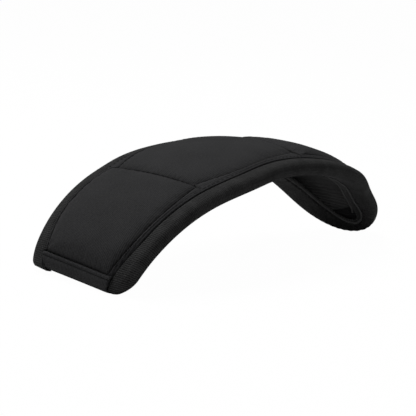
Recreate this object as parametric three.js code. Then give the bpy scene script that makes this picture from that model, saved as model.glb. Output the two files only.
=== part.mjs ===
// A shoulder cushion pad: an arched, padded cover that slips over a strap or bar and spreads its load.
// Lengths are in millimetres. +X runs from the square end to the round end, +Y to the rear, +Z is up.
import * as THREE from "three";

// Plan of the pad, measured along its face from the crown
const halfLength = 130; // crown to the tip of the round end, along the middle of the edge roll
const squareEnd = 124; // crown to the middle of the square end's roll
const crownHalfWidth = 36; // centre line to the middle of the edge roll
const squareEndNarrowing = 9.4; // what each side draws in by the square end
const narrowingPower = 3.6;
const noseLengthPower = 1.9; // the round end is a superellipse with these two powers
const noseWidthPower = 1.66;

// Bend of the face: its downward slope in degrees is a power series in s / halfLength
const slopeSeries = [-1.9, 42.5, 23.6, 15, -43.7];
const noseTwist = -29; // degrees the soft round end is turned about the pad's length, at its tip
const twistStart = 20; // where on the face the turn begins

// Seams, as places along the face and insets from the middle of the edge roll
const leftSeam = -58.3;
const rightSeam = 30.7;
const rightSeamSlant = 15; // how far the right seam leans back at each side of the pad
const hemLine = 120.6; // crown to the stitched edge of the square end's hem
const panelInset = 6.7;
const bandInset = 3.7;
const underInset = 8.4; // how far the band is turned in below, along the sides
const noseUnderInset = 5; // and at the tip of the round end
const underInsetPower = 5;
const facingTuck = 2.6; // how far the facing is tucked in behind the bound edge
const facingReach = 3.4; // and how far it shows beyond it
const liningEnd = 111; // crown to the free hem of the lining, inside the round end
const liningDipStart = 78; // the lining sags towards the mouth from here to its hem
const seamGap = 0.3; // clearance between pieces that meet

// Section through the pad, heights from the quilt line
const rollRadius = 4.2;
const rollDrop = 1.9; // quilt line down to the top of the roll
const cornerLength = 5; // the band's end is drawn in to a rounded corner over this length
const hemRollRadius = 5.5;
const hemDrop = 0.3;
const middleCrown = 2.8; // rise of each panel above its seams
const endCrown = 3.1;
const alongPower = 8; // the higher the power, the flatter the panel's middle, along it and across it
const acrossPower = 4;
const coverThickness = 1;
const foamSetback = 4.8; // each panel's foam stops this far short of its cross seams
const stripThickness = 1.2;
const bandThickness = 1.3;
const liningTop = -3.2; // the ribbed lining closes the panels below and roofs the channel
const liningThickness = 0.9;
const foamLift = 0.8; // clearance from the lining up to the foam
const liningDip = 3; // and sags this far
const facingThickness = 0.8;
const bindingRadius = 0.7;

// How finely the faces are cut
const sideRows = 22;
const noseRows = 20;
const rollSteps = 6;
const cornerRows = 5;
const panelRows = 10;
const panelColumns = 8;
const spineSteps = 16;
const hemColumns = 6;
const liningColumns = 6;
const liningRow = 6;

const rollHeight = -rollDrop - rollRadius;
const underside = rollHeight - rollRadius;
const hemRollHeight = -hemDrop - hemRollRadius;
const noseTrim = 0.992; // share of the nose kept, so that a panel ends in a short blunt edge
const stripReach = 0.8; // share of the square end's roll that the strips follow round
const cornerClosed = 0.08; // share of the band's section that is left at the closed corner

function slopeAt(s) {
  const t = s / halfLength;
  return THREE.MathUtils.degToRad(slopeSeries.reduce((sum, c, power) => sum + c * t ** power, 0));
}

// The face's centre line in side view, traced from the crown in short straight steps.
function spineAt(s) {
  const step = s / spineSteps;
  let x = 0;
  let z = 0;
  for (let i = 0; i < spineSteps; i++) {
    const slope = slopeAt((i + 0.5) * step);
    x += step * Math.cos(slope);
    z -= step * Math.sin(slope);
  }
  return { x, z };
}

// The point s along the face, y across it and h above the quilt line.
function onPad(s, y, h) {
  const { x, z } = spineAt(s);
  const slope = slopeAt(s);
  const turn = Math.max(0, (s - twistStart) / (halfLength - twistStart)) ** 2;
  const twist = THREE.MathUtils.degToRad(noseTwist) * turn;
  const across = y * Math.cos(twist) - h * Math.sin(twist);
  const height = y * Math.sin(twist) + h * Math.cos(twist);
  return new THREE.Vector3(x + height * Math.sin(slope), across, z + height * Math.cos(slope));
}

function halfWidthAt(s, inset) {
  if (s < 0) return crownHalfWidth - squareEndNarrowing * (-s / halfLength) ** narrowingPower - inset;
  const share = Math.min(s / (halfLength - inset), 1);
  return (crownHalfWidth - inset) * (1 - share ** noseLengthPower) ** (1 / noseWidthPower);
}

// The plan's edge line at an inset: v is -1 at halfLength on the square side, 0 at the crown, 1 at the tip.
function edgeAt(v, inset) {
  const s = v < 0 ? v * halfLength : v * (halfLength - inset);
  return { s, y: halfWidthAt(s, inset) };
}

// Places along the edge line from a station on the square side to the tip, closer together at the nose.
function edgeStations(first) {
  const start = -first / halfLength;
  const side = Array.from({ length: sideRows }, (_, i) => start * (1 - i / sideRows));
  const nose = Array.from({ length: noseRows + 1 }, (_, i) => Math.sin((i / noseRows) * (Math.PI / 2)));
  return [...side, ...nose];
}

// One closed solid from its points and triangles, turned so that its faces point out.
function closedSolid(points, triangles) {
  const volume = triangles.reduce(
    (sum, [a, b, c]) => sum + points[a].dot(points[b].clone().cross(points[c])),
    0,
  );
  const outward = volume < 0 ? triangles.map(([a, b, c]) => [a, c, b]) : triangles;
  const geometry = new THREE.BufferGeometry().setFromPoints(points);
  geometry.setIndex(outward.flat());
  geometry.computeVertexNormals();
  return geometry;
}

// A sheet with a thickness: outer(i, j) and inner(i, j) give its two skins over a grid.
function sheet(rows, columns, outer, inner) {
  const points = [];
  for (const skin of [outer, inner]) {
    for (let i = 0; i <= rows; i++) {
      for (let j = 0; j <= columns; j++) points.push(skin(i, j));
    }
  }
  const at = (skin, i, j) => (skin * (rows + 1) + i) * (columns + 1) + j;
  const triangles = [];
  const quad = (a, b, c, d) => triangles.push([a, b, c], [a, c, d]);
  for (let i = 0; i < rows; i++) {
    for (let j = 0; j < columns; j++) {
      quad(at(0, i, j), at(0, i + 1, j), at(0, i + 1, j + 1), at(0, i, j + 1));
      quad(at(1, i, j), at(1, i, j + 1), at(1, i + 1, j + 1), at(1, i + 1, j));
    }
    quad(at(0, i, 0), at(1, i, 0), at(1, i + 1, 0), at(0, i + 1, 0));
    quad(at(0, i, columns), at(0, i + 1, columns), at(1, i + 1, columns), at(1, i, columns));
  }
  for (let j = 0; j < columns; j++) {
    quad(at(0, 0, j), at(0, 0, j + 1), at(1, 0, j + 1), at(1, 0, j));
    quad(at(0, rows, j), at(1, rows, j), at(1, rows, j + 1), at(0, rows, j + 1));
  }
  return closedSolid(points, triangles);
}

// A solid rod: around(i, angle) gives the points of ring i, and both ends are closed by a fan.
function rod(rows, sides, around) {
  const points = [];
  for (let i = 0; i <= rows; i++) {
    for (let k = 0; k < sides; k++) points.push(around(i, (k / sides) * 2 * Math.PI));
  }
  const at = (i, k) => i * sides + (k % sides);
  const triangles = [];
  for (let i = 0; i < rows; i++) {
    for (let k = 0; k < sides; k++) {
      triangles.push([at(i, k), at(i + 1, k), at(i + 1, k + 1)], [at(i, k), at(i + 1, k + 1), at(i, k + 1)]);
    }
  }
  for (let k = 1; k < sides - 1; k++) {
    triangles.push([at(0, 0), at(0, k), at(0, k + 1)], [at(rows, 0), at(rows, k + 1), at(rows, k)]);
  }
  return closedSolid(points, triangles);
}

// Even steps from -1 to 1 drawn closer together towards both ends.
const towardsEnds = (i, count) => -Math.cos((i / count) * Math.PI);

// The rise of a stuffed panel: full over its middle and falling steeply to its seams.
function pillow(along, across, crown) {
  return crown * Math.sqrt((1 - along ** alongPower) * (1 - across ** acrossPower));
}

// Places a grid point of a panel-shaped layer; depth is how far it lies below the cover's outside.
function panelPoint({ from, to, crown, fromSlant = 0, toSlant = 0 }, inset, end, depth) {
  return (i, j) => {
    const along = towardsEnds(i, panelRows);
    const across = towardsEnds(j, panelColumns);
    const first = from + fromSlant * across + end;
    const last = to + toSlant * across - end;
    const s = THREE.MathUtils.lerp(first, last, (along + 1) / 2);
    return onPad(s, across * halfWidthAt(s, inset), depth(pillow(along, across, crown)));
  };
}

const panels = {
  left_end: { from: -hemLine, to: leftSeam, crown: endCrown },
  middle: { from: leftSeam, to: rightSeam, toSlant: rightSeamSlant, crown: middleCrown },
  right_end: {
    from: rightSeam,
    fromSlant: rightSeamSlant,
    to: noseTrim * (halfLength - panelInset),
    crown: endCrown,
  },
};

// The quilted cloth over one panel.
function panelCover(panel) {
  const place = (depth) => panelPoint(panel, panelInset + seamGap / 2, seamGap / 2, depth);
  const outer = place((rise) => rise);
  const inner = place((rise) => rise - coverThickness);
  return sheet(panelRows, panelColumns, outer, inner);
}

// The foam that fills one panel, between its cover and the lining.
function panelFoam(panel) {
  const place = (depth) => panelPoint(panel, panelInset + seamGap * 2, foamSetback, depth);
  const top = place((rise) => rise - coverThickness - seamGap);
  const bottom = place(() => liningTop + foamLift);
  return sheet(panelRows, panelColumns, top, bottom);
}

// How far the face falls below the quilt line where the square end rolls over.
function endDrop(s) {
  const over = Math.max(0, -squareEnd - s);
  return hemRollRadius - Math.sqrt(hemRollRadius ** 2 - over ** 2);
}

// The flat strip between the panels and the side band, on one side of the pad (side is -1 or 1).
function seamStrip(side) {
  const stations = edgeStations(squareEnd + stripReach * hemRollRadius);
  const edges = [panelInset - seamGap / 2, bandInset + seamGap / 2];
  const heights = [0, -rollDrop];
  const skin = (depth) => (i, j) => {
    const { s, y } = edgeAt(stations[i], edges[j]);
    return onPad(s, side * (y + seamGap / 2), heights[j] - endDrop(s) - depth);
  };
  return sheet(stations.length - 1, 1, skin(0), skin(stripThickness));
}

// The inset of the turned-in band's free edge, at a place v on the edge line.
function underInsetAt(v) {
  return underInset + (noseUnderInset - underInset) * Math.max(0, v) ** underInsetPower;
}

// The band in section, as [inset, height] pairs: from its top seam, round the roll and in below.
function bandLine(depth, v) {
  const radius = rollRadius - depth;
  const arc = Array.from({ length: rollSteps + 1 }, (_, k) => {
    const angle = Math.PI * (0.5 - k / rollSteps);
    return [-radius * Math.cos(angle), rollHeight + radius * Math.sin(angle)];
  });
  return [[bandInset - seamGap / 2, -rollDrop - depth], ...arc, [underInsetAt(v), underside + depth]];
}

// The share of the band's section that is left where it is drawn in at the square corner.
function cornerShare(v) {
  const left = THREE.MathUtils.clamp((v * halfLength + squareEnd + rollRadius) / cornerLength, 0, 1);
  return Math.max(cornerClosed, Math.sqrt(1 - (1 - left) ** 2));
}

// The knitted band that is rolled over one long edge, to the middle of the round end.
function sideBand(side) {
  const corner = Array.from({ length: cornerRows }, (_, i) => {
    const left = cornerLength * (1 - Math.cos((i / cornerRows) * (Math.PI / 2)));
    return (left - squareEnd - rollRadius) / halfLength;
  });
  const stations = [...corner, ...edgeStations(squareEnd + rollRadius - cornerLength)];
  const skin = (depth) => (i, j) => {
    const share = cornerShare(stations[i]);
    const [inset, height] = bandLine(depth, stations[i])[j];
    const { s, y } = edgeAt(stations[i], inset * share);
    const drawnIn = depth * (1 - share);
    return onPad(s + drawnIn, side * (y + seamGap / 2), THREE.MathUtils.lerp(rollHeight, height, share));
  };
  return sheet(stations.length - 1, rollSteps + 2, skin(0), skin(bandThickness));
}

// A round cord that follows the edge line at a height; insetAt(v) is its inset.
function edgeRod(side, first, insetAt, height, radius) {
  const stations = edgeStations(first);
  return rod(stations.length - 1, rollSteps, (i, angle) => {
    const { s, y } = edgeAt(stations[i], insetAt(stations[i]) + radius * Math.cos(angle));
    return onPad(s, side * (y + seamGap / 2), height + radius * Math.sin(angle));
  });
}

// The foam roll inside one band.
function edgeRoll(side) {
  const radius = rollRadius - bandThickness - seamGap;
  return edgeRod(side, squareEnd + rollRadius - cornerLength, () => 0, rollHeight, radius);
}

// The thin cord that binds the turned-in edge of one band.
function mouthBinding(side) {
  const insetAt = (v) => underInsetAt(v) + seamGap + bindingRadius;
  const first = squareEnd - underInset - seamGap * 2;
  return edgeRod(side, first, insetAt, underside + bindingRadius, bindingRadius);
}

// The square end's hem in section, as [s, height] pairs: from its stitch line, over the end and in below.
function hemLineSection(depth) {
  const radius = hemRollRadius - depth;
  const arc = Array.from({ length: rollSteps + 1 }, (_, k) => {
    const angle = Math.PI * (0.5 + k / rollSteps);
    return [-squareEnd + radius * Math.cos(angle), hemRollHeight + radius * Math.sin(angle)];
  });
  const below = hemRollHeight - radius;
  return [[-hemLine - seamGap / 2, -hemDrop - depth], ...arc.slice(1), [-squareEnd + underInset, below]];
}

// The cloth of the square end, stitched down on the face and rolled over the end.
function squareEndHem() {
  const firstFlapRow = rollSteps / 2 + 1; // from here on the hem lies between the turned-in bands
  const skin = (depth) => (i, j) => {
    const [s, height] = hemLineSection(depth)[i];
    const inset = i < firstFlapRow ? panelInset : underInset;
    return onPad(s, halfWidthAt(s, inset + seamGap) * ((2 * j) / hemColumns - 1), height);
  };
  return sheet(rollSteps + 1, hemColumns, skin(0), skin(bandThickness));
}

// The foam roll inside the square end's hem.
function squareEndRoll() {
  const radius = hemRollRadius - bandThickness - seamGap;
  const halfWidth = halfWidthAt(-squareEnd, underInset + seamGap);
  return rod(hemColumns, rollSteps, (i, angle) =>
    onPad(
      -squareEnd + radius * Math.cos(angle),
      halfWidth * ((2 * i) / hemColumns - 1),
      hemRollHeight + radius * Math.sin(angle),
    ),
  );
}

// The facing behind the bound edge on one side, which shows as a second edge inside the mouth.
function mouthFacing(side) {
  const stations = edgeStations(squareEnd - underInset - seamGap * 2);
  const bottom = underside + 2 * bindingRadius + seamGap;
  const skin = (height) => (i, j) => {
    const reach = THREE.MathUtils.lerp(-facingTuck, facingReach, j);
    const { s, y } = edgeAt(stations[i], underInsetAt(stations[i]) + reach);
    return onPad(s, side * (y + seamGap / 2), height);
  };
  return sheet(stations.length - 1, 1, skin(bottom + facingThickness), skin(bottom));
}

// The ribbed lining under the foam. It roofs the channel and sags to a free hem inside the round end.
function innerLining() {
  const from = hemRollRadius - squareEnd;
  const rows = Math.ceil((liningEnd - from) / liningRow);
  const skin = (depth) => (i, j) => {
    const s = THREE.MathUtils.lerp(from, liningEnd, i / rows);
    const dip = liningDip * THREE.MathUtils.smoothstep(s, liningDipStart, liningEnd);
    const half = halfWidthAt(s, THREE.MathUtils.lerp(bandInset, rollRadius, dip / liningDip) + seamGap);
    return onPad(s, half * ((2 * j) / liningColumns - 1), liningTop - dip - depth);
  };
  return sheet(rows, liningColumns, skin(0), skin(liningThickness));
}

const cloth = { color: 0x2e2e2f, roughness: 0.95, metalness: 0 };
const knit = { color: 0x262627, roughness: 1, metalness: 0 };
const liningKnit = { color: 0x1c1c1d, roughness: 1, metalness: 0 };
const foam = { color: 0x3a3a3c, roughness: 0.9, metalness: 0 };

const pad = new THREE.Group();

function add(name, geometry, finish) {
  const mesh = new THREE.Mesh(geometry, new THREE.MeshStandardMaterial(finish));
  mesh.name = name;
  pad.add(mesh);
}

for (const [name, panel] of Object.entries(panels)) {
  add(`${name}_panel`, panelCover(panel), cloth);
  add(`${name}_foam`, panelFoam(panel), foam);
}
for (const [name, side] of [["front", -1], ["rear", 1]]) {
  add(`${name}_seam_strip`, seamStrip(side), cloth);
  add(`${name}_side_band`, sideBand(side), knit);
  add(`${name}_edge_roll`, edgeRoll(side), foam);
  add(`${name}_mouth_binding`, mouthBinding(side), knit);
  add(`${name}_mouth_facing`, mouthFacing(side), liningKnit);
}
add("square_end_hem", squareEndHem(), cloth);
add("square_end_roll", squareEndRoll(), foam);
add("inner_lining", innerLining(), liningKnit);

// The pad stands on its two ends, with the origin below the middle of its box.
const box = new THREE.Box3().setFromObject(pad, true);
pad.position.set(-(box.min.x + box.max.x) / 2, -(box.min.y + box.max.y) / 2, -box.min.z);

export default pad;
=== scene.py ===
import math

import bmesh
import bpy
import numpy as np
from mathutils import Matrix, Vector, noise


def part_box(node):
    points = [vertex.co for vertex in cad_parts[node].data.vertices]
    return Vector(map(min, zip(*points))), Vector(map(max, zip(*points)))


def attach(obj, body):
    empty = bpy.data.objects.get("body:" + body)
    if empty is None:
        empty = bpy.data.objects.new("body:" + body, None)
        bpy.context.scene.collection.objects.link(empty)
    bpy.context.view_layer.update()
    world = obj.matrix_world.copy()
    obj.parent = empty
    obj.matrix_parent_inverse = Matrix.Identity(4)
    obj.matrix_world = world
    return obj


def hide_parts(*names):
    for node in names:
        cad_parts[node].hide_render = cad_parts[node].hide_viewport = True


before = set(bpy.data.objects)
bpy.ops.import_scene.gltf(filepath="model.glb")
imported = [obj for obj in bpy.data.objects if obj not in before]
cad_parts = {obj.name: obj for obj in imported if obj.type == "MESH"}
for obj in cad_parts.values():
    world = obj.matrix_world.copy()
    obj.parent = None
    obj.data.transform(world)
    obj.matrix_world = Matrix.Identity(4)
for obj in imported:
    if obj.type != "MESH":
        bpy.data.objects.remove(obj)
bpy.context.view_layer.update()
mm = 0.001

# The pad's plan and bend, in millimetres and degrees: close to the solids' own, fitted to the soft pad.
# A swell is its side, its place along the pad, its reach and its amount; side 0 is both sides.
pad = {
    "halfLength": 130.4,
    "squareEnd": 123.2,
    "crownHalfWidth": 35.5,
    "squareEndNarrowing": 9.4,
    "narrowingPower": 4.6,
    "swells": (
        (0, -32.6, 21, 3.0), (1, -62, 26, 1.3), (1, -124, 12, 1.6), (1, 30, 30, 0.5),
        (1, 74, 22, -2.7), (-1, 103, 19, -3.7)),
    "noseLengthPower": 1.9,
    "noseWidthPowers": (1.84, 1.9),
    "slopes": (-1.9, 42.9, 22.8, 14.9, -43.4),
    # the soft round end is turned about the pad's length, by this much at its tip
    "noseTwist": -34,
    "twistStart": 20,
    "leftSeam": -56.6,
    "rightSeam": 26,
    "rightSeamSlant": 5,
    "hemLine": 119.9,
    "panelInset": 6.6,
    "noseTrim": 0.992,
    "rollHeight": -6.0,
    "rollRadius": 4.0,
    "underside": -10.1,
    "flapInset": 8.4,
    "noseFlapInset": 5,
    "flapPowers": (5, 18),
    "rearFlapInset": 14.2,
    "mouthStart": 30,
    "mouthReach": 35,
    "seamShift": 3,
    "shiftStart": 98,
    "shiftReach": 28,
    "endSlant": 1.6,
    # what a panel stays short of its seams
    "seamGap": 0.15,
    # the ends of the solid left panel, by which the pad is placed
    "solidHem": -120.45,
    "solidSeam": -58.45,
}

# The bent face: its slope is a power series along the pad
spineS = np.linspace(-150, 150, 3001)
spineSlope = np.radians(sum(c * (spineS / pad["halfLength"]) ** p for p, c in enumerate(pad["slopes"])))
spineX = np.cumsum(np.cos(spineSlope)) * np.ptp(spineS[:2])
spineZ = -np.cumsum(np.sin(spineSlope)) * np.ptp(spineS[:2])
spineX -= np.interp(0, spineS, spineX)
spineZ -= np.interp(0, spineS, spineZ)
padPlace = np.zeros(3)


def onPad(s, y, h):
    # the point s along the face, y across it and h above the quilt line, in metres
    s, y, h = np.broadcast_arrays(s, y, h)
    turn = np.clip((s - pad["twistStart"]) / (pad["halfLength"] - pad["twistStart"]), 0, None) ** 2
    twist = np.radians(pad["noseTwist"]) * turn
    across = y * np.cos(twist) - h * np.sin(twist)
    height = y * np.sin(twist) + h * np.cos(twist)
    slope = np.interp(s, spineS, spineSlope)
    x = np.interp(s, spineS, spineX) + height * np.sin(slope)
    z = np.interp(s, spineS, spineZ) + height * np.cos(slope)
    return np.stack([x, across, z], -1) * mm + padPlace


def halfWidth(s, inset, side=0):
    # side is -1 at the front and 1 at the rear; the pad's swells are not the same on both
    s = np.asarray(s, float)
    length = pad["halfLength"]
    drawnIn = np.clip(-s / length, 0, None) ** pad["narrowingPower"]
    back = pad["crownHalfWidth"] - pad["squareEndNarrowing"] * drawnIn - inset
    share = np.clip(s / (length - inset), 0, 1) ** pad["noseLengthPower"]
    front, rear = pad["noseWidthPowers"]
    power = (front + rear) / 2 + (rear - front) / 2 * side
    nose = (pad["crownHalfWidth"] - inset) * (1 - share) ** (1 / power)
    half = np.where(s < 0, back, nose)
    fade = 1 - np.clip(s / length, 0, 1) ** 8
    for where, place, reach, amount in pad["swells"]:
        swell = amount * np.exp(-((s - place) / reach) ** 2) * fade
        half = half + np.where((where == 0) | (where == side), swell, 0)
    return half


def easedStep(value, start, reach):
    # 0 up to start and 1 from start + reach on, with a smooth rise between them
    share = np.clip((value - start) / reach, 0, 1)
    return share * share * (3 - 2 * share)


def flapInset(v, side):
    # the turned-in band's free edge; round the mouth the rear flap is the wider one
    frontPower, rearPower = pad["flapPowers"]
    tip = np.clip(v, 0, 1)
    front = pad["flapInset"] + (pad["noseFlapInset"] - pad["flapInset"]) * tip ** frontPower
    widened = easedStep(v * pad["halfLength"], pad["mouthStart"], pad["mouthReach"])
    mouth = pad["flapInset"] + (pad["rearFlapInset"] - pad["flapInset"]) * widened
    rear = mouth + (pad["noseFlapInset"] - mouth) * tip ** rearPower
    return np.where(side < 0, front, rear)


def seamShift(v):
    # how far the band's seam moves in towards the middle at the square end
    return pad["seamShift"] * easedStep(-v * pad["halfLength"], pad["shiftStart"], pad["shiftReach"])


# The left panel's ends are plain stations, so its box places the whole pad
panelLow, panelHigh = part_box("left_end_panel")
seamEnd = onPad(pad["solidSeam"], 0, -1)
hemEnd = onPad(pad["solidHem"], 0, -1)
padPlace = np.array([panelHigh.x - seamEnd[0], (panelLow.y + panelHigh.y) / 2, panelLow.z - hemEnd[2]])


def sidePath(first, spacing):
    # even stations along one side's roll, from the square corner to the nose, and the length run
    straight = np.linspace(-first / pad["halfLength"], 0, 400)[:-1]
    v = np.concatenate([straight, np.sin(np.linspace(0, np.pi / 2, 500))])
    s = v * pad["halfLength"]
    line = onPad(s, halfWidth(s, 0), pad["rollHeight"])
    run = np.concatenate([[0], np.cumsum(np.linalg.norm(np.diff(line, axis=0), axis=1))]) / mm
    even = np.linspace(0, run[-1], int(run[-1] / spacing) + 1)
    return np.interp(even, run, v), even


def edgePath(first, spacing, rearFirst=None):
    # stations round the pad from the front square corner, by the nose, to the rear one:
    # the place v on the edge line, the side, and the length run along the roll
    v, run = sidePath(first, spacing)
    rear, rearRun = sidePath(rearFirst or first, spacing)
    side = np.where(np.arange(len(v) + len(rear) - 1) < len(v), -1, 1)
    run = np.concatenate([run, run[-1] + rearRun[-1] - rearRun[-2::-1]])
    return np.concatenate([v, rear[-2::-1]]), side, run


def edgePoints(v, side, insets):
    # s and y at each station, for one row of insets or for a row of its own each
    insets = np.broadcast_to(insets, (len(v), np.shape(insets)[-1]))
    s = v[:, None] * (pad["halfLength"] - np.where(v[:, None] < 0, 0, insets))
    return s, side[:, None] * halfWidth(s, insets, side[:, None])


# Mesh helpers

def gridFaces(rows, columns, wrap=False):
    i = np.arange(rows - 1)[:, None]
    j = np.arange(columns if wrap else columns - 1)[None]
    after = (j + 1) % columns
    corners = (i * columns + j, i * columns + after, (i + 1) * columns + after, (i + 1) * columns + j)
    return np.stack(np.broadcast_arrays(*corners), -1).reshape(-1, 4)


def addPiece(name, points, faces, uv, painted_shade=None):
    # this attribute is 1 at the bottom of a seam and 0 away from it: painted shade, by which the finishes darken
    # the colour there
    mesh = bpy.data.meshes.new(name)
    mesh.from_pydata(np.asarray(points).reshape(-1, 3).tolist(), [], [list(f) for f in faces])
    if painted_shade is not None:
        depth = mesh.attributes.new("painted_shade", "FLOAT", "POINT")
        depth.data.foreach_set("value", np.asarray(painted_shade, np.float32).ravel())
    uv = np.asarray(uv).reshape(-1, 2)
    layer = mesh.uv_layers.new(name="cut")
    for loop in mesh.loops:
        layer.data[loop.index].uv = uv[loop.vertex_index]
    built = bmesh.new()
    built.from_mesh(mesh)
    bmesh.ops.recalc_face_normals(built, faces=built.faces)
    built.to_mesh(mesh)
    built.free()
    mesh.polygons.foreach_set("use_smooth", [True] * len(mesh.polygons))
    piece = bpy.data.objects.new(name, mesh)
    bpy.context.scene.collection.objects.link(piece)
    return piece


def shellPiece(name, top, bottom, uv, painted_shade=None):
    # a layer with a thickness, closed round its four edges; top and bottom are grids of points
    rows, columns = top.shape[:2]
    count = rows * columns
    skin = gridFaces(rows, columns)
    index = np.arange(count).reshape(rows, columns)
    rim = np.concatenate([index[0, :-1], index[:-1, -1], index[-1, :0:-1], index[:0:-1, 0]])
    after = np.roll(rim, -1)
    wall = np.stack([rim, after, after + count, rim + count], -1)
    faces = np.concatenate([skin, skin[:, ::-1] + count, wall])
    points = np.concatenate([top.reshape(-1, 3), bottom.reshape(-1, 3)])
    if painted_shade is not None:
        painted_shade = np.concatenate([painted_shade.ravel(), np.zeros(count)])
    return addPiece(name, points, faces, np.concatenate([uv, uv]), painted_shade)


def tubePiece(name, rings, uv):
    # a solid made of closed rings in a row, with a fan over both ends
    rows, columns = rings.shape[:2]
    faces = gridFaces(rows, columns, wrap=True).tolist()
    ends = np.array([rings[0].mean(0), rings[-1].mean(0)])
    first, last = rows * columns, rows * columns + 1
    for k in range(columns):
        after = (k + 1) % columns
        faces.append([first, after, k])
        faces.append([last, (rows - 1) * columns + k, (rows - 1) * columns + after])
    points = np.concatenate([rings.reshape(-1, 3), ends])
    uv = np.concatenate([uv.reshape(-1, 2), uv[0, :1], uv[-1, :1]])
    return addPiece(name, points, faces, uv)


def wander(points, size, seed):
    # smooth noise from -1 to 1 at each point; size is how long its swells are, in millimetres
    flat = points.reshape(-1, 3) / (size * mm)
    values = [noise.noise(Vector(p) + Vector((seed * 7.3, seed * 3.1, seed))) for p in flat]
    return np.array(values).reshape(points.shape[:-1])


def finish(piece, finishName, nodes):
    piece.data.materials.append(finishes[finishName])
    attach(piece, "root")
    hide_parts(*nodes)
    return piece


# Finishes

def linear(hexColour):
    parts = [int(hexColour[i:i + 2], 16) / 255 for i in (1, 3, 5)]
    return [p / 12.92 if p <= 0.04045 else ((p + 0.055) / 1.055) ** 2.4 for p in parts] + [1]


def addNode(tree, kind, settings=None, links=None):
    node = tree.nodes.new(kind)
    for key, value in (settings or {}).items():
        if isinstance(key, int) or key in node.inputs:
            node.inputs[key].default_value = value
        else:
            setattr(node, key, value)
    for key, source in (links or {}).items():
        tree.links.new(source, node.inputs[key])
    return node


def waveScale(pitch):
    # the scale at which a wave texture repeats every pitch millimetres on a map in metres
    return math.pi / 10 / (pitch * mm)


def clothFinish(name, look):
    # dark cloth: ribs of thread, a finer cross thread, loose fibres, slow changes of tone and painted shade in its
    # seams
    material = bpy.data.materials.new(name)
    material.use_nodes = True
    tree = material.node_tree
    tree.nodes.clear()
    if look.get("onThread"):
        place = addNode(tree, "ShaderNodeTexCoord").outputs["Object"]
    else:
        place = addNode(tree, "ShaderNodeUVMap", {"uv_map": "cut"}).outputs["UV"]
    ribs = addNode(
        tree, "ShaderNodeTexWave",
        {"bands_direction": look["ribsAcross"], "Scale": waveScale(look["ribPitch"]),
         "Distortion": look["ribWander"], "Detail": 2, "Detail Scale": 1.4},
        {"Vector": place})
    weft = addNode(
        tree, "ShaderNodeTexWave",
        {"bands_direction": "Y" if look["ribsAcross"] == "X" else "X", "Scale": waveScale(look["weftPitch"]),
         "Distortion": look["ribWander"], "Detail": 2},
        {"Vector": place})
    fibres = addNode(
        tree, "ShaderNodeTexNoise",
        {"Scale": 1 / (look["fibreSize"] * mm), "Detail": 4, "Roughness": 0.6},
        {"Vector": place})
    tone = addNode(
        tree, "ShaderNodeTexNoise",
        {"Scale": 1 / (look["toneSize"] * mm), "Detail": 3, "Roughness": 0.55},
        {"Vector": place})
    threads = addNode(
        tree, "ShaderNodeMix",
        {"data_type": "FLOAT", "Factor": look["weftShare"]},
        {"A": ribs.outputs["Fac"], "B": weft.outputs["Fac"]})
    fuzzy = addNode(
        tree, "ShaderNodeMix",
        {"data_type": "FLOAT", "Factor": look["fibreShare"]},
        {"A": threads.outputs["Result"], "B": fibres.outputs["Fac"]})
    toned = addNode(
        tree, "ShaderNodeMix",
        {"data_type": "FLOAT", "Factor": look["toneShare"]},
        {"A": fuzzy.outputs["Result"], "B": tone.outputs["Fac"]})
    colour = addNode(tree, "ShaderNodeValToRGB", {}, {"Fac": toned.outputs["Result"]})
    ramp = colour.color_ramp
    ramp.elements[0].position = 0.5 - look["spread"]
    ramp.elements[0].color = linear(look["dark"])
    ramp.elements[1].position = 0.5 + look["spread"]
    ramp.elements[1].color = linear(look["light"])
    bump = addNode(
        tree, "ShaderNodeBump",
        {"Strength": look["relief"], "Distance": look["reliefDepth"] * mm},
        {"Height": fuzzy.outputs["Result"]})
    # painted shade: where the seam attribute is 1 the colour is mixed towards near black, for the shade at the
    # bottom of seams
    depth = addNode(tree, "ShaderNodeAttribute", {"attribute_name": "painted_shade"})
    shaded = addNode(
        tree, "ShaderNodeMix", {"data_type": "RGBA", 7: linear("#050505")},
        {"Factor": depth.outputs["Fac"], 6: colour.outputs["Color"]})
    shader = addNode(
        tree, "ShaderNodeBsdfPrincipled",
        {"Roughness": 0.93, "Specular IOR Level": 0.15, "Sheen Weight": look["sheen"],
         "Sheen Roughness": 0.5, "Sheen Tint": linear("#808082")},
        {"Base Color": shaded.outputs[2], "Normal": bump.outputs["Normal"]})
    addNode(tree, "ShaderNodeOutputMaterial", {}, {"Surface": shader.outputs["BSDF"]})
    return material


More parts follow.
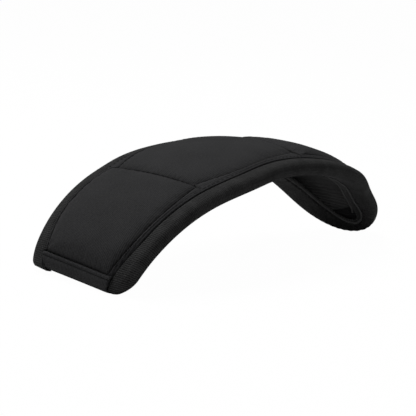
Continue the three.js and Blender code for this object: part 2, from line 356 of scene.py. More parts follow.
# Lengths are in millimetres. Thread is finer than a pixel, so pitches and fibres are drawn coarser than real.
finishes = {
    # close-woven polyester of the face: even and matt, with faint ribs along the pad and a fine grain
    "faceCloth": clothFinish("woven polyester face cloth", {
        "ribsAcross": "Y", "ribPitch": 0.95, "weftPitch": 0.7, "weftShare": 0.3, "ribWander": 1.2,
        "fibreSize": 0.9, "fibreShare": 0.6, "toneSize": 22, "toneShare": 0.2, "spread": 0.2,
        "dark": "#0b0b0c", "light": "#2a2a2b", "relief": 0.5, "reliefDepth": 0.15, "sheen": 0.03}),
    # brushed rib knit of the side bands: short soft hairs that catch light along each rib
    "bandKnit": clothFinish("brushed rib knit band", {
        "ribsAcross": "X", "ribPitch": 0.95, "weftPitch": 1.5, "weftShare": 0.15, "ribWander": 2.5,
        "fibreSize": 0.6, "fibreShare": 0.66, "toneSize": 7, "toneShare": 0.3, "spread": 0.13,
        "dark": "#040404", "light": "#292929", "relief": 0.8, "reliefDepth": 0.3, "sheen": 0.06}),
    # plain rib knit of the lining: dark, with ribs across the pad; its colours are set lighter than the face
    # cloth's as painted light, for the light that reaches it under the pad
    "liningKnit": clothFinish("rib knit lining", {
        "ribsAcross": "X", "ribPitch": 1.3, "weftPitch": 1.2, "weftShare": 0.15, "ribWander": 2,
        "fibreSize": 0.6, "fibreShare": 0.35, "toneSize": 12, "toneShare": 0.25, "spread": 0.2,
        "dark": "#161616", "light": "#404040", "relief": 0.7, "reliefDepth": 0.35, "sheen": 0.03}),
    # folded bias tape on the mouth's edge: the same cloth, coloured paler on its fold as a painted highlight
    "highlitTape": clothFinish("folded bias tape", {
        "ribsAcross": "X", "ribPitch": 0.9, "weftPitch": 0.9, "weftShare": 0.4, "ribWander": 2,
        "fibreSize": 0.5, "fibreShare": 0.4, "toneSize": 8, "toneShare": 0.3, "spread": 0.2,
        "dark": "#262626", "light": "#4c4c4c", "relief": 0.4, "reliefDepth": 0.15, "sheen": 0.08}),
    # spun polyester thread, sunk into the cloth; coloured darker than it as painted shade, for the shade in the
    # stitch holes
    "thread": clothFinish("spun polyester thread", {
        "onThread": True,
        "ribsAcross": "X", "ribPitch": 0.4, "weftPitch": 0.4, "weftShare": 0.2, "ribWander": 1,
        "fibreSize": 0.3, "fibreShare": 0.3, "toneSize": 6, "toneShare": 0.2, "spread": 0.2,
        "dark": "#080808", "light": "#161616", "relief": 0.3, "reliefDepth": 0.1, "sheen": 0.02}),
    # the same thread packed close in a bar tack, where it catches the light
    "paleThread": clothFinish("bar tack thread", {
        "onThread": True,
        "ribsAcross": "X", "ribPitch": 0.4, "weftPitch": 0.4, "weftShare": 0.2, "ribWander": 1,
        "fibreSize": 0.3, "fibreShare": 0.3, "toneSize": 6, "toneShare": 0.2, "spread": 0.2,
        "dark": "#2a2a2a", "light": "#565656", "relief": 0.3, "reliefDepth": 0.1, "sheen": 0.02}),
}
print("finishes made:", len(finishes))

# Quilted panels: each swells between its seams, which draw it in and pucker it
quilt = {
    "grid": 1.1,
    "packing": 1.4,
    "edgeEase": 3,
    "bottom": -3.2,
    "panels": {
        "left_end": {
            "from": -pad["hemLine"], "fromSlant": pad["endSlant"], "to": pad["leftSeam"],
            "inset": 5.8, "draw": 2.6, "crown": 1.3},
        "middle": {
            "from": pad["leftSeam"], "to": pad["rightSeam"], "toSlant": pad["rightSeamSlant"],
            "inset": 6.2, "draw": 4.8, "crown": 0.6},
        "right_end": {
            "from": pad["rightSeam"], "fromSlant": pad["rightSeamSlant"],
            "to": pad["noseTrim"] * (pad["halfLength"] - pad["panelInset"]), "inset": 6.6, "draw": 0,
            # the right panel's stitched sides take less painted shade than the others'
            "crown": 2.3, "fall": 1.8, "ease": 6, "sideDrop": 0.25, "sideShade": 0.2},
    },
    "drawPower": 2.5,
    "camber": 2.3,
    "camberLength": 125,
    "seamDrop": 0.7,
    "alongPower": 10,
    "acrossPower": 6,
    "puckerPitch": 3.2,
    "puckerDepth": 0.4,
    "puckerReach": 2.6,
    "sidePuckerDepth": 0.15,
    "creaseSize": 13,
    "creaseDepth": 0.2,
    "shadowReach": 0.6,
    "simScale": 10,
    "simFrames": 14,
    "simPressure": 2.0,
    "simCap": 0.45,
}


def panelEdge(s, side):
    # the inset of the panels' stitched edge: each panel is drawn in towards its corners
    inset = np.full(np.shape(s), float(pad["panelInset"]))
    for panel in quilt["panels"].values():
        first = panel["from"] + panel.get("fromSlant", 0) * side
        last = panel["to"] + panel.get("toSlant", 0) * side
        along = (2 * s - first - last) / (last - first)
        drawn = panel["inset"] + panel["draw"] * np.abs(along) ** quilt["drawPower"]
        inset = np.where(np.abs(along) <= 1, drawn, inset)
    return inset


def inflate(piece, held):
    # swells the cloth between its held points, on a copy ten times as large
    grown = piece.copy()
    grown.data = piece.data.copy()
    bpy.context.scene.collection.objects.link(grown)
    grown.data.transform(Matrix.Scale(quilt["simScale"], 4))
    group = grown.vertex_groups.new(name="sewn")
    group.add([int(i) for i in held], 1, "REPLACE")
    cloth = grown.modifiers.new("swell", "CLOTH")
    cloth.settings.quality = 5
    cloth.settings.mass = 0.2
    cloth.settings.tension_stiffness = 12
    cloth.settings.compression_stiffness = 12
    cloth.settings.bending_stiffness = 0.6
    cloth.settings.use_pressure = True
    cloth.settings.uniform_pressure_force = quilt["simPressure"]
    cloth.settings.vertex_group_mass = "sewn"
    cloth.settings.shrink_min = -0.02
    cloth.settings.effector_weights.gravity = 0
    cloth.point_cache.frame_end = quilt["simFrames"]
    for f in range(1, quilt["simFrames"] + 1):
        bpy.context.scene.frame_set(f)
    swollen = grown.evaluated_get(bpy.context.evaluated_depsgraph_get())
    after = np.zeros(len(piece.data.vertices) * 3)
    before = np.zeros(len(piece.data.vertices) * 3)
    swollen.data.vertices.foreach_get("co", after)
    piece.data.vertices.foreach_get("co", before)
    move = (after / quilt["simScale"] - before).reshape(-1, 3)
    length = np.linalg.norm(move, axis=1, keepdims=True)
    cap = quilt["simCap"] * mm
    move *= cap * np.tanh(length / cap) / np.maximum(length, 1e-9)
    piece.data.vertices.foreach_set("co", (before.reshape(-1, 3) + move).ravel())
    bpy.data.objects.remove(grown)
    bpy.context.scene.frame_set(1)
    print("  swelled", piece.name, "by up to", round(float(length.max()) / mm, 2), "mm")


def puckers(place, away):
    # how far the stitches draw the cloth in: full at each stitch hole, less between, none away from the seam
    return (0.55 + 0.45 * np.cos(2 * np.pi * place / quilt["puckerPitch"])) * np.exp(-away / quilt["puckerReach"])


def quiltPanel(name, panel):
    # along and across run from -1 to 1, with their rows packed closer towards the seams
    rows = int((panel["to"] - panel["from"]) / quilt["grid"])
    columns = int(2 * halfWidth((panel["from"] + min(panel["to"], 60)) / 2, panel["inset"]) / quilt["grid"])
    along = np.linspace(-1, 1, rows + 1)[:, None]
    along = np.sign(along) * (1 - (1 - np.abs(along)) ** quilt["packing"])
    across = np.linspace(-1, 1, columns + 1)[None]
    across = np.sign(across) * (1 - (1 - np.abs(across)) ** quilt["packing"])
    first = panel["from"] + panel.get("fromSlant", 0) * across + pad["seamGap"]
    last = panel["to"] + panel.get("toSlant", 0) * across - pad["seamGap"]
    s = first + (last - first) * (along + 1) / 2
    drawn = panel["draw"] * np.abs(along) ** quilt["drawPower"]
    half = halfWidth(s, panel["inset"] + pad["seamGap"], np.sign(across))
    half = half - np.minimum(drawn, halfWidth(s, panel["inset"]) * 0.5)
    y = across * half
    rise = np.sqrt((1 - along ** quilt["alongPower"]) * (1 - across ** quilt["acrossPower"]))
    crown = panel["crown"] - panel.get("fall", 0) * (along + 1) / 2
    swelling = np.clip((s - first) / panel.get("ease", 0.1), 0, 1)
    crown = crown * swelling * (2 - swelling)
    camber = quilt["camber"] * (1 - across ** 2) * np.clip(1 - (s / quilt["camberLength"]) ** 2, 0, 1)
    drop = quilt["seamDrop"] + (panel.get("sideDrop", quilt["seamDrop"]) - quilt["seamDrop"]) * across ** 6
    top = camber + (crown + drop) * rise - drop
    toSeam = np.minimum(s - first, last - s)
    toSide = half - np.abs(y)
    free = np.clip(np.minimum(toSeam, toSide) / quilt["edgeEase"], 0, 1)
    top = top - quilt["puckerDepth"] * puckers(y, toSeam) * free ** 0.5
    top = top - quilt["sidePuckerDepth"] * puckers(s, toSide) * free ** 0.5
    top = top + quilt["creaseDepth"] * wander(onPad(s, y, top), quilt["creaseSize"], 3) * free
    # painted shade: the colour darkens towards the panel's seams and stitched sides, over shadowReach
    sideShade = panel.get("sideShade", 1) * np.exp(-toSide / quilt["shadowReach"])
    painted_shade = np.maximum(np.exp(-toSeam / quilt["shadowReach"]), sideShade)
    bottom = onPad(s, y, np.full_like(s, quilt["bottom"]))
    uv = np.stack([s, y], -1).reshape(-1, 2) * mm
    cushion = shellPiece(f"{name}_cushion", onPad(s, y, top), bottom, uv, painted_shade)
    count = (rows + 1) * (columns + 1)
    index = np.arange(count).reshape(rows + 1, columns + 1)
    rim = np.concatenate([index[0], index[-1], index[1:-1, 0], index[1:-1, -1]])
    inflate(cushion, np.concatenate([rim, np.arange(count, 2 * count)]))
    finish(cushion, "faceCloth", [f"{name}_panel", f"{name}_foam"])


for name, panel in quilt["panels"].items():
    quiltPanel(name, panel)
print("panels made:", len(quilt["panels"]))

# The rolled band round three sides
band = {
    "first": 131.4,
    "rearFirst": 128.2,
    "spacing": 1.0,
    # from the seam to the roll, as insets and heights, and how far each goes with the seam's shift
    "topShift": (1, 1, 0.9, 0.65, 0.35),
    "top": ((3.7, -3.4), (3.6, -2.4), (3.2, -1.85), (2.3, -1.7), (1.1, -1.85)),
    "arcSteps": 24,
    "flapSteps": 10,
    "tape": 1.2,
    # what draws the band in to a closed corner, at the front and at the rear
    "cornerRound": (11.5, 4.5),
    "cornerPower": (1.9, 3),
    "cornerMiddle": (6.6, 3),
    "pleats": 7,
    "pleatDepth": 0.5,
    "swell": 0.3,
    "swellSize": 15,
    "gatherPitch": 3.6,
    "gatherDepth": 0.2,
    "gatherFrom": 0.8,
    "inside": (-8.9, -7.6, -6.2, -5.0, -4.2),
    "insideShare": 0.48,
    "closed": 0.02,
    "pleatReach": 3.5,
}


def bandSection(v, side):
    # one closed ring at each station: from the seam over the roll, along the flap and back inside
    radius = pad["rollRadius"]
    angle = np.radians(np.linspace(90, -90, band["arcSteps"]))
    top = np.array(band["top"])
    flap = np.linspace(0, 1, band["flapSteps"] + 1)[1:]
    back = flap[::-1][:-4]
    inside = band["inside"]
    base = np.concatenate([top[:, 0], -radius * np.cos(angle), np.zeros(len(flap) + len(back) + len(inside))])
    share = np.concatenate([
        np.zeros(len(top) + len(angle)), flap, back, np.full(len(inside), band["insideShare"])])
    height = np.concatenate([
        top[:, 1], pad["rollHeight"] + radius * np.sin(angle), np.full(len(flap), pad["underside"]),
        np.full(len(back), pad["underside"] + band["tape"]), inside])
    inset = base[None] + share[None] * flapInset(v, side)[:, None]
    inset[:, :len(top)] += seamShift(v)[:, None] * band["topShift"]
    return inset, np.broadcast_to(height, inset.shape)


def sideBand():
    # each ring shrinks towards its middle at the square corners, and is gathered round the tip
    v, side, run = edgePath(band["first"], band["spacing"], band["rearFirst"])
    inset, height = bandSection(v, side)
    left = np.minimum(run, run[-1] - run)[:, None]
    corner = [np.where(side < 0, *band[key])[:, None] for key in ("cornerRound", "cornerPower", "cornerMiddle")]
    cornerRound, cornerPower, cornerMiddle = corner
    share = np.clip(left / cornerRound, 0, 1)
    full = np.maximum((1 - (1 - share) ** cornerPower) ** (1 / cornerPower), band["closed"])
    turn = np.arctan2(height - pad["rollHeight"], inset - cornerMiddle)
    pleat = band["pleatDepth"] * np.sin(band["pleats"] * turn) * full * np.exp(-left / band["pleatReach"])
    insets = cornerMiddle + (inset - cornerMiddle) * full + pleat * np.cos(turn)
    heights = pad["rollHeight"] + (height - pad["rollHeight"]) * full + pleat * np.sin(turn)
    s, y = edgePoints(v, side, insets)
    rings = onPad(s, y, heights)
    swell = band["swell"] * wander(rings, band["swellSize"], 1) * full
    nose = np.clip((v[:, None] - band["gatherFrom"]) / (1 - band["gatherFrom"]), 0, 1)
    gather = band["gatherDepth"] * nose * np.sin(2 * np.pi * run[:, None] / band["gatherPitch"])
    gather = gather * np.clip((pad["rollHeight"] - height) / pad["rollRadius"], 0, 1)
    rings = onPad(s, y, heights + gather + swell * np.where(height > pad["rollHeight"], 0.6, 0.25))
    girth = np.concatenate([
        np.zeros((len(v), 1)), np.cumsum(np.hypot(np.diff(inset, axis=1), np.diff(height, axis=1)), axis=1)], 1)
    uv = np.stack(np.broadcast_arrays(run[:, None], girth), -1) * mm
    piece = tubePiece("side_band", rings, uv)
    nodes = ["front_side_band", "rear_side_band", "front_edge_roll", "rear_edge_roll"]
    finish(piece, "bandKnit", nodes)


sideBand()
print("side band made")

# The flat strip beside the band. Inner rows go from the panels' edge and outer ones from the middle
# of the roll, as insets and heights; middle rows lie at a share of the way between them.
strip = {
    "first": 128,
    "spacing": 1.2,
    "inner": ((0.3, -1.7), (0.05, -0.9), (-0.3, -0.3)),
    "middle": ((0.25, -0.25), (0.5, -0.55), (0.68, -1.0), (0.84, -1.0)),
    "outer": ((4.1, -1.25), (3.8, -1.65), (3.65, -2.9)),
    "seamReach": 0.5,
    "seamDepth": 0.4,
    "puckerDepth": 0.08,
    # painted shade on the three outer rows, at the band's seam
    "outerShade": (0, 0.1, 0.6),
    "thickness": 1.2,
}

# The hem of the square end: a ridge beside the panel, a stitch line and the rolled cloth;
# its face is given as places along the pad and heights
hem = {
    "roll": 5.5,
    "rollHeight": -5.8,
    "face": (
        (-118.9, -2.1), (-120.0, -0.9), (-120.3, -0.05), (-120.9, 0.3), (-121.6, 0.15), (-122.0, -0.5),
        (-122.5, -0.1)),
    "columns": 60,
    "inset": 6.4,
    "under": (3, 5.5, 8.2),
    "underGap": 0.3,
    "thickness": 1.3,
    "puckerDepth": 0.12,
}


def endDrop(s):
    # how far the face falls below the quilt line where the square end rolls over
    over = np.clip(-s - pad["squareEnd"], 0, hem["roll"] - 0.05)
    return hem["roll"] - np.sqrt(hem["roll"] ** 2 - over ** 2)


def seamStrip():
    # its inner edge follows the panels, its outer edge the band's seam
    v, side, run = edgePath(strip["first"], strip["spacing"])
    inner = panelEdge(v * pad["halfLength"], side)[:, None]
    start = inner + strip["inner"][-1][0]
    columns = [(inner + k, h) for k, h in strip["inner"]]
    shift = seamShift(v)[:, None]
    columns += [(start + k * (strip["outer"][0][0] + shift - start), h) for k, h in strip["middle"]]
    columns += [(k + shift, h) for k, h in strip["outer"]]
    inset = np.concatenate([c[0] for c in columns], 1)
    height = np.array([c[1] for c in columns])[None]
    s, y = edgePoints(v, side, inset)
    gathered = strip["puckerDepth"] * np.cos(2 * np.pi * run[:, None] / quilt["puckerPitch"])
    height = height - endDrop(s) + gathered
    # beside the right panel the seam is shallow, so its shadow fades there
    faded = np.clip((v * pad["halfLength"] - pad["rightSeam"] - 6) / 10, 0, 1)[:, None]
    # painted shade: the colour darkens along the panels' edge and on the outer rows at the band's seam
    painted_shade = np.zeros_like(height)
    painted_shade[:, :2] = 1 - 0.85 * faded
    painted_shade[:, -3:] = strip["outerShade"]
    # the cross seams run on over the strip as far as its stitches, sunk there and darkened with painted shade
    for seam, slant in ((pad["leftSeam"], 0), (pad["rightSeam"], pad["rightSeamSlant"])):
        away = np.abs(v * pad["halfLength"] - seam - slant * side)[:, None] / strip["seamReach"]
        sewn = np.exp(-away ** 2) * (np.arange(len(inset[0])) < len(strip["inner"]) + 2)
        painted_shade = np.maximum(painted_shade, sewn)
        height = height - strip["seamDepth"] * sewn
    uv = np.stack(np.broadcast_arrays(run[:, None], inset), -1).reshape(-1, 2) * mm
    piece = shellPiece("seam_strip", onPad(s, y, height), onPad(s, y, height - strip["thickness"]), uv, painted_shade)
    finish(piece, "faceCloth", ["front_seam_strip", "rear_seam_strip"])


def hemSection(depth):
    # s and height from the panel's edge over the ridge, the stitch line and the rolled end
    roll = hem["roll"] - depth
    angle = np.radians(np.linspace(80, -90, 20))
    arc = [(-pad["squareEnd"] - roll * np.cos(a), hem["rollHeight"] + roll * np.sin(a)) for a in angle]
    under = [(-pad["squareEnd"] + k, hem["rollHeight"] - roll) for k in hem["under"]]
    return np.array([(s, h - depth) for s, h in hem["face"]] + arc + under)


def squareEndHem():
    outer, inner = hemSection(0), hemSection(hem["thickness"])
    across = np.linspace(-1, 1, hem["columns"] + 1)[None]
    # the last rows lie between the flaps
    firstUnder = len(outer) - 6
    inset = np.where(np.arange(len(outer)) < firstUnder, hem["inset"], pad["flapInset"] + hem["underGap"])[:, None]
    y = across * halfWidth(outer[:, :1], inset, np.sign(across))
    onFace = np.arange(len(outer))[:, None] < len(hem["face"])
    wave = hem["puckerDepth"] * np.cos(2 * np.pi * y / quilt["puckerPitch"]) * onFace
    slant = pad["endSlant"] * across
    top = onPad(outer[:, :1] + slant, y, outer[:, 1:] + wave)
    bottom = onPad(inner[:, :1] + slant, y, inner[:, 1:])
    run = np.concatenate([[0], np.cumsum(np.hypot(*np.diff(outer, axis=0).T))])
    uv = np.stack(np.broadcast_arrays(run[:, None], y), -1).reshape(-1, 2) * mm
    piece = shellPiece("square_end_hem_cloth", top, bottom, uv)
    finish(piece, "faceCloth", ["square_end_hem", "square_end_roll"])


seamStrip()
squareEndHem()
print("strips and hem made")

# The underside: ribbed lining, the facings inside the mouth and the bound edge
lining = {
    "from": -118.5, "to": 111, "dipStart": 78, "dip": 3, "top": -3.2, "thickness": 0.9,
    "insets": (4.0, 4.5), "spacing": 1.5, "hemRadius": 0.6,
    "ripple": 0.25,
}


def liningDip(s):
    return lining["dip"] * easedStep(s, lining["dipStart"], lining["to"] - lining["dipStart"])


def liningPlace(s, across):
    low, high = lining["insets"]
    y = across * halfWidth(s, low + (high - low) * liningDip(s) / lining["dip"], np.sign(across))
    return y, lining["top"] - liningDip(s)


def ribbedLining():
    rows = int((lining["to"] - lining["from"]) / lining["spacing"])
    s = np.linspace(lining["from"], lining["to"], rows + 1)[:, None]
    y, height = liningPlace(s, np.linspace(-1, 1, 41)[None])
    height = height + lining["ripple"] * wander(onPad(s, y, height), 12, 5)
    uv = np.stack(np.broadcast_arrays(s, y), -1).reshape(-1, 2) * mm
    piece = shellPiece("ribbed_lining", onPad(s, y, height), onPad(s, y, height - lining["thickness"]), uv)
    finish(piece, "liningKnit", ["inner_lining"])


def liningHem():
    # the folded free edge of the lining, inside the round end
    angle = np.linspace(0, 2 * np.pi, 11)[:-1]
    radius = lining["hemRadius"]
    s = lining["to"] + radius * np.cos(angle)[None]
    y, height = liningPlace(lining["to"], np.linspace(-0.97, 0.97, 31)[:, None])
    height = height - lining["thickness"] / 2 + radius * np.sin(angle)[None]
    uv = np.stack(np.broadcast_arrays(y, radius * angle[None]), -1) * mm
    return tubePiece("lining_hem", onPad(s, y, height), uv)


# the facing reaches past the flap's edge on each side, and differently at the tip
facing = {
    "first": 115, "spacing": 1.2, "tuck": -2.6, "frontReach": 7.4, "rearReach": 0.8, "noseReach": 2.2,
    "nosePower": 40, "height": -8.0, "thickness": 0.8, "hem": 0.5, "ripple": 0.25, "edgeLast": 0.985,
}


def mouthFacing():
    # a flat ring at each station that ends in a rounded hem
    angle = np.radians(np.linspace(100, -100, 9))
    half = facing["thickness"] / 2
    share = np.array([0, 0.3, 0.6, 0.85])
    height = np.concatenate([[half] * 4, facing["hem"] * np.sin(angle), [-half] * 4]) + facing["height"]
    v, side, run = edgePath(facing["first"], facing["spacing"])
    nose = np.clip(v, 0, 1) ** facing["nosePower"]
    reach = np.where(side < 0, facing["frontReach"], facing["rearReach"]) * (1 - nose) + facing["noseReach"] * nose
    flat = facing["tuck"] + (reach - facing["hem"] - facing["tuck"])[:, None] * share
    folded = (reach - facing["hem"])[:, None] + facing["hem"] * np.cos(angle)
    inset = np.concatenate([flat, folded, flat[:, ::-1]], 1)
    s, y = edgePoints(v, side, flapInset(v, side)[:, None] + inset)
    ripple = facing["ripple"] * wander(onPad(s, y, height), 9, 8) * np.clip(inset / reach[:, None], 0, 1)
    rings = onPad(s, y, height + ripple)
    uv = np.stack(np.broadcast_arrays(run[:, None], inset), -1) * mm
    return tubePiece("mouth_facing", rings, uv)


edge = {"first": 115, "spacing": 1.1, "out": 1.0, "radii": (0.75, 0.7), "ripple": 0.15}


def boundEdge(name, out, height, last=0):
    # tape folded over a free edge; with last it stops on the front side, short of the nose
    angle = np.linspace(0, 2 * np.pi, 15)[:-1]
    v, side, run = edgePath(edge["first"], edge["spacing"])
    if last:
        kept = (side < 0) & (v < last)
        v, side, run = v[kept], side[kept], run[kept]
    inset = flapInset(v, side)[:, None] + out + edge["radii"][0] * np.cos(angle)
    s, y = edgePoints(v, side, inset)
    height = height + edge["radii"][1] * np.sin(angle)
    height = height + edge["ripple"] * wander(onPad(s, y, height), 7, 4)
    uv = np.stack(np.broadcast_arrays(run[:, None], (edge["radii"][0] * angle)[None]), -1) * mm
    return tubePiece(name, onPad(s, y, height), uv)


ribbedLining()
# painted highlight: the lining's hem, the mouth's bound edge and the facing's edge are given the paler tape cloth,
# for the light on their folds
finish(liningHem(), "highlitTape", [])
finish(mouthFacing(), "liningKnit", ["front_mouth_facing", "rear_mouth_facing"])
mouthEdge = boundEdge("mouth_edge", edge["out"], pad["underside"] + edge["radii"][1])
finish(mouthEdge, "highlitTape", ["front_mouth_binding", "rear_mouth_binding"])
facingEdge = boundEdge("facing_edge", facing["frontReach"], facing["height"], facing["edgeLast"])
finish(facingEdge, "highlitTape", [])
print("lining, facings and bound edge made")

# Stitches: short capsules of thread laid along paths by one node group
stitch = {
    "step": 3.0, "length": 2.3, "width": 0.5, "seed": 4, "sides": 8, "rings": 6,
    "stripInset": 4.9, "stripShift": 0.85, "stripHeight": -1.05,
    "hemPlace": -122.0, "hemInset": 7.2, "hemHeight": -0.42,
    "mouthOut": 1.2, "mouthSink": 0.02,
}


def stitchGroup():
    group = bpy.data.node_groups.new("stitches along paths", "GeometryNodeTree")
    group.interface.new_socket("Paths", in_out="INPUT", socket_type="NodeSocketGeometry")
    for name in ("Step", "Length", "Width"):
        group.interface.new_socket(name, in_out="INPUT", socket_type="NodeSocketFloat")
    group.interface.new_socket("Seed", in_out="INPUT", socket_type="NodeSocketInt")
    group.interface.new_socket("Thread", in_out="INPUT", socket_type="NodeSocketMaterial")
    group.interface.new_socket("Stitches", in_out="OUTPUT", socket_type="NodeSocketGeometry")
    given = addNode(group, "NodeGroupInput").outputs
    curve = addNode(group, "GeometryNodeMeshToCurve", {}, {"Mesh": given["Paths"]})
    places = addNode(
        group, "GeometryNodeCurveToPoints", {"mode": "LENGTH"},
        {"Curve": curve.outputs["Curve"], "Length": given["Step"]})
    ball = addNode(
        group, "GeometryNodeMeshUVSphere",
        {"Segments": stitch["sides"], "Rings": stitch["rings"], "Radius": 0.5})
    size = addNode(
        group, "ShaderNodeCombineXYZ", {},
        {"X": given["Width"], "Y": given["Width"], "Z": given["Length"]})
    capsule = addNode(
        group, "GeometryNodeTransform", {},
        {"Geometry": ball.outputs["Mesh"], "Scale": size.outputs["Vector"]})
    uneven = addNode(
        group, "FunctionNodeRandomValue", {"data_type": "FLOAT", 2: 0.88, 3: 1.1},
        {"Seed": given["Seed"]})
    laid = addNode(
        group, "GeometryNodeInstanceOnPoints", {},
        {"Points": places.outputs["Points"], "Instance": capsule.outputs["Geometry"],
         "Rotation": places.outputs["Rotation"], "Scale": uneven.outputs[1]})
    real = addNode(group, "GeometryNodeRealizeInstances", {}, {"Geometry": laid.outputs["Instances"]})
    threaded = addNode(
        group, "GeometryNodeSetMaterial", {},
        {"Geometry": real.outputs["Geometry"], "Material": given["Thread"]})
    addNode(group, "NodeGroupOutput", {}, {"Stitches": threaded.outputs["Geometry"]})
    return group


def stitchRows(name, paths, step=stitch["step"], length=stitch["length"], finishName="thread"):
    # paths are lists of points in metres; each becomes one row of stitches
    mesh = bpy.data.meshes.new(name)
    starts = np.cumsum([0] + [len(p) for p in paths])
    edges = [(int(k), int(k) + 1) for a, b in zip(starts[:-1], starts[1:]) for k in range(a, b - 1)]
    mesh.from_pydata(np.concatenate(paths).tolist(), edges, [])
    rows = bpy.data.objects.new(name, mesh)
    bpy.context.scene.collection.objects.link(rows)
    sewing = rows.modifiers.new("sewing", "NODES")
    sewing.node_group = stitchGroup()
    values = {
        "Step": step * mm, "Length": length * mm, "Width": stitch["width"] * mm,
        "Seed": stitch["seed"], "Thread": finishes[finishName]}
    for socket in sewing.node_group.interface.items_tree:
        if socket.name in values:
            sewing[socket.identifier] = values[socket.name]
    evaluated = rows.evaluated_get(bpy.context.evaluated_depsgraph_get())
    rows.data = bpy.data.meshes.new_from_object(evaluated)
    rows.modifiers.clear()
    rows.data.polygons.foreach_set("use_smooth", [True] * len(rows.data.polygons))
    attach(rows, "root")
    print("  sewed", name, "with", len(rows.data.polygons), "faces")


def edgeRow(first, last, inset, height):
    # a row that follows the edge; inset is a function of the place and the side
    v, side = edgePath(first, 1)[:2]
    s, y = edgePoints(v, side, inset(v, side)[:, None])
    return onPad(s, y, height - endDrop(s) if height > -2 else height)[:, 0][np.abs(v) <= last]


def hemRow(s, inset, height):
    across = np.linspace(-1, 1, 60)
    return onPad(s + pad["endSlant"] * across, across * halfWidth(s, inset, np.sign(across)), height)


def stripInset(v, side):
    return stitch["stripInset"] + stitch["stripShift"] * seamShift(v)


def mouthInset(v, side):
    return flapInset(v, side) - stitch["mouthOut"]


stitchRows("strip_stitches", [edgeRow(127, 1, stripInset, stitch["stripHeight"])])
stitchRows("hem_stitches", [hemRow(stitch["hemPlace"], stitch["hemInset"], stitch["hemHeight"])])
# the mouth's row is real stitching; its dark thread also serves as painted shade, for the shade line beside the
# bound edge
stitchRows("mouth_stitches", [edgeRow(113, 1, mouthInset, pad["underside"] - stitch["mouthSink"])])
# the bar tack that holds the mouth's corner on the rear flap
tack = {"s": (63, 70.5), "y": (13.6, 16.4), "turns": 9, "sink": 0.3, "step": 0.7, "length": 0.8}
zigzag = [tack["y"][k % 2] for k in range(tack["turns"])]
tackPath = onPad(np.linspace(*tack["s"], tack["turns"]), np.array(zigzag), pad["underside"] - tack["sink"])
stitchRows("bar_tack", [tackPath], tack["step"], tack["length"], "paleThread")
print("stitches sewn")

# Floor, light and camera

studio = {
    "azimuth": 48.65, "elevation": 11.35, "roll": 3.69, "distance": 815.1, "pixelsPerMm": 1.953,
    "crownPixel": (231.1, 147.1), "frame": 416, "sensor": 36,
    "floorSize": 4, "floorWhite": 0.985, "worldLight": 0.09,
}


def addCamera():
    # the camera that was fitted to the photograph, placed from the pixel where the crown lies
    a, e, r = (math.radians(studio[k]) for k in ("azimuth", "elevation", "roll"))
    ahead = Vector((math.sin(a) * math.cos(e), math.cos(a) * math.cos(e), -math.sin(e)))
    right = Vector((math.cos(a), -math.sin(a), 0))
    up = right.cross(ahead)
    turnedRight = right * math.cos(r) + up * math.sin(r)
    turnedUp = up * math.cos(r) - right * math.sin(r)
    focal = studio["distance"] * studio["pixelsPerMm"]
    crown = Vector(onPad(0.0, 0.0, 0.0))
    cx, cy = (p - studio["frame"] / 2 for p in studio["crownPixel"])
    back = studio["distance"] * mm
    place = crown - ahead * back - turnedRight * (cx * back / focal) + turnedUp * (cy * back / focal)
    camera = bpy.data.cameras.new("camera")
    camera.sensor_width = studio["sensor"]
    camera.lens = studio["sensor"] * focal / studio["frame"]
    camera.clip_start = 0.01
    seat = bpy.data.objects.new("camera", camera)
    turn = Matrix((turnedRight, turnedUp, -ahead)).transposed()
    seat.matrix_world = Matrix.Translation(place) @ turn.to_4x4()
    bpy.context.scene.collection.objects.link(seat)
    bpy.context.scene.camera = seat


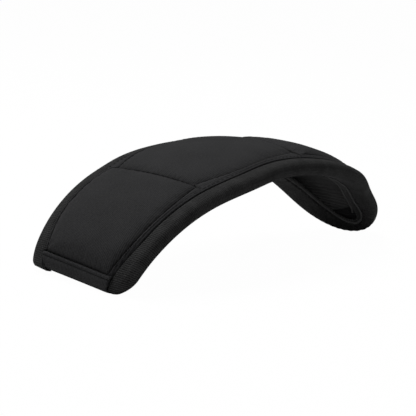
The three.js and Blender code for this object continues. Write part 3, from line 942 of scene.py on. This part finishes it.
def addFloor():
    # paper that lights the pad as paper does, and that the camera sees as nearly plain white
    mesh = bpy.data.meshes.new("floor")
    reach = studio["floorSize"]
    corners = [(-reach, -reach, 0), (reach, -reach, 0), (reach, reach, 0), (-reach, reach, 0)]
    mesh.from_pydata(corners, [], [(0, 1, 2, 3)])
    floor = bpy.data.objects.new("floor", mesh)
    bpy.context.scene.collection.objects.link(floor)
    material = bpy.data.materials.new("white studio paper")
    material.use_nodes = True
    tree = material.node_tree
    tree.nodes.clear()
    paper = addNode(tree, "ShaderNodeBsdfDiffuse", {"Color": linear("#e0e0e0")})
    glow = addNode(tree, "ShaderNodeEmission", {"Color": (1, 1, 1, 1), "Strength": 1})
    seen = addNode(tree, "ShaderNodeLightPath")
    share = addNode(
        tree, "ShaderNodeMath", {"operation": "MULTIPLY", 1: studio["floorWhite"]},
        {0: seen.outputs["Is Camera Ray"]})
    mixed = addNode(
        tree, "ShaderNodeMixShader", {},
        {0: share.outputs[0], 1: paper.outputs[0], 2: glow.outputs[0]})
    addNode(tree, "ShaderNodeOutputMaterial", {}, {"Surface": mixed.outputs[0]})
    mesh.materials.append(material)


def addLight(name, place, aim, size, power):
    lamp = bpy.data.lights.new(name, "AREA")
    lamp.size = size
    lamp.energy = power
    seat = bpy.data.objects.new(name, lamp)
    seat.location = place
    seat.rotation_euler = (Vector(aim) - Vector(place)).to_track_quat("-Z", "Y").to_euler()
    bpy.context.scene.collection.objects.link(seat)


def addWorld():
    world = bpy.data.worlds.new("studio")
    world.use_nodes = True
    tree = world.node_tree
    tree.nodes.clear()
    room = addNode(tree, "ShaderNodeBackground", {"Color": (1, 1, 1, 1), "Strength": studio["worldLight"]})
    seen = addNode(tree, "ShaderNodeBackground", {"Color": (1, 1, 1, 1), "Strength": 1})
    ray = addNode(tree, "ShaderNodeLightPath")
    mixed = addNode(
        tree, "ShaderNodeMixShader", {},
        {0: ray.outputs["Is Camera Ray"], 1: room.outputs[0], 2: seen.outputs[0]})
    addNode(tree, "ShaderNodeOutputWorld", {}, {"Surface": mixed.outputs[0]})
    bpy.context.scene.world = world


addCamera()
addFloor()
addWorld()
addLight("key", (-0.03, 0.35, 1.0), (0, 0, 0.03), 0.6, 15)
addLight("fill", (-0.8, -0.4, 0.12), (0.05, 0, 0.03), 0.6, 3)
bpy.context.scene.view_settings.view_transform = "Standard"
